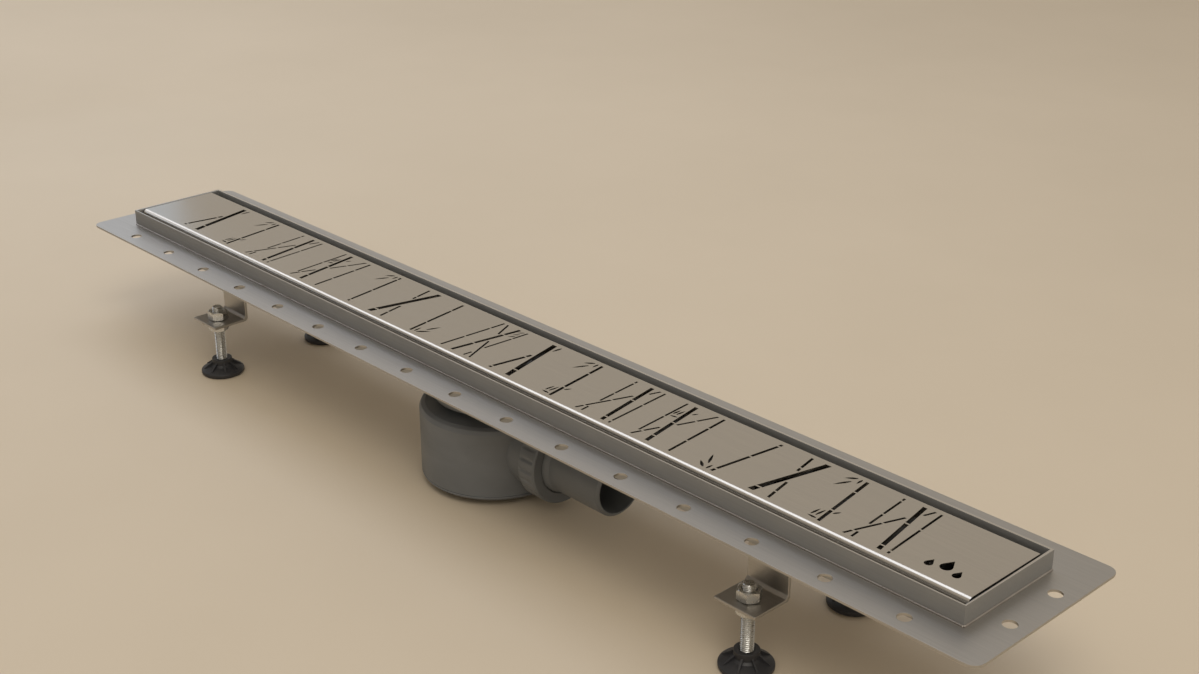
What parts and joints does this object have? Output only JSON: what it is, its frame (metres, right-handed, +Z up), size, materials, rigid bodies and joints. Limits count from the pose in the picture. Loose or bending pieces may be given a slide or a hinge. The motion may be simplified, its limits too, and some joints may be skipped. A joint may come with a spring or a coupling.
{
  "type": "floor drain grate",
  "caption": "Linear shower drain: folded steel grate with slots shaped as leaning stalks and leaves, in a channel with bonding flange, levelling legs and water-seal trap.",
  "frame": {"origin": "middle of the footprint on the slab under the feet", "axes": "+X along the drain towards the outlet, +Y towards the wall side, +Z up"},
  "size_m": [0.85, 0.127, 0.096],
  "materials": {
    "satin_steel": "fine satin brushing along the length",
    "channel_steel": "satin, duller inside",
    "mill_steel": "dull mill finish",
    "zinc_steel": "bright zinc plate",
    "black_rubber": "matte EPDM",
    "foot_plastic": "moulded, fine grain",
    "trap_plastic": "moulded polypropylene",
    "insert_plastic": "moulded polypropylene, slightly glossy"
  },
  "bodies": {
    "root": {"channel_trough": "channel_steel", "bonding_flange": "mill_steel", "leg_bracket_left": "mill_steel", "leg_bracket_right": "mill_steel", "leg_1_nut_lower": "zinc_steel", "leg_1_nut_upper": "zinc_steel", "leg_2_nut_lower": "zinc_steel", "leg_2_nut_upper": "zinc_steel", "leg_3_nut_lower": "zinc_steel", "leg_3_nut_upper": "zinc_steel", "leg_4_nut_lower": "zinc_steel", "leg_4_nut_upper": "zinc_steel", "trap_gasket": "black_rubber", "clamp_ring": "channel_steel", "clamp_screw_1": "zinc_steel", "clamp_screw_2": "zinc_steel", "clamp_screw_3": "zinc_steel", "clamp_screw_4": "zinc_steel", "trap_body": "trap_plastic", "trap_base": "trap_plastic", "outlet_seal": "black_rubber", "outlet_nut": "trap_plastic"},
    "grate": {"grate_panel": "satin_steel", "grate_rib_1": "mill_steel", "grate_rib_2": "mill_steel", "grate_rib_3": "mill_steel", "grate_rib_4": "mill_steel", "grate_rib_5": "mill_steel", "grate_rib_6": "mill_steel", "rib_1_pad_front": "black_rubber", "rib_1_pad_back": "black_rubber", "rib_2_pad_front": "black_rubber", "rib_2_pad_back": "black_rubber", "rib_3_pad_front": "black_rubber", "rib_3_pad_back": "black_rubber", "rib_4_pad_front": "black_rubber", "rib_4_pad_back": "black_rubber", "rib_5_pad_front": "black_rubber", "rib_5_pad_back": "black_rubber", "rib_6_pad_front": "black_rubber", "rib_6_pad_back": "black_rubber"},
    "insert": {"dip_tube": "insert_plastic", "seal_cup": "insert_plastic", "insert_seal": "black_rubber"},
    "strainer": {"hair_strainer": "satin_steel"},
    "outlet": {"outlet_spigot": "trap_plastic"},
    "leg_1": {"leg_1_rod": "zinc_steel", "leg_1_foot": "foot_plastic"},
    "leg_2": {"leg_2_rod": "zinc_steel", "leg_2_foot": "foot_plastic"},
    "leg_3": {"leg_3_rod": "zinc_steel", "leg_3_foot": "foot_plastic"},
    "leg_4": {"leg_4_rod": "zinc_steel", "leg_4_foot": "foot_plastic"}
  },
  "joints": [
    {"name": "grate_lift", "type": "slide", "parent": "root", "child": "grate", "axis": [0, 0, 1], "range_m": [0, 0.12]},
    {"name": "insert_lift", "type": "slide", "parent": "root", "child": "insert", "axis": [0, 0, 1], "range_m": [0, 0.01]},
    {"name": "strainer_lift", "type": "slide", "parent": "insert", "child": "strainer", "axis": [0, 0, 1], "range_m": [0, 0.008]},
    {"name": "outlet_swivel", "type": "hinge", "parent": "root", "child": "outlet", "pos_m": [0.066, 0, 0.036], "axis": [0, 0, 1], "range_deg": [-10, 10]},
    {"name": "leg_1_height", "type": "slide", "parent": "root", "child": "leg_1", "axis": [0, 0, 1], "range_m": [0, 0.02]},
    {"name": "leg_2_height", "type": "slide", "parent": "root", "child": "leg_2", "axis": [0, 0, 1], "range_m": [0, 0.02]},
    {"name": "leg_3_height", "type": "slide", "parent": "root", "child": "leg_3", "axis": [0, 0, 1], "range_m": [0, 0.02]},
    {"name": "leg_4_height", "type": "slide", "parent": "root", "child": "leg_4", "axis": [0, 0, 1], "range_m": [0, 0.02]}
  ]
}
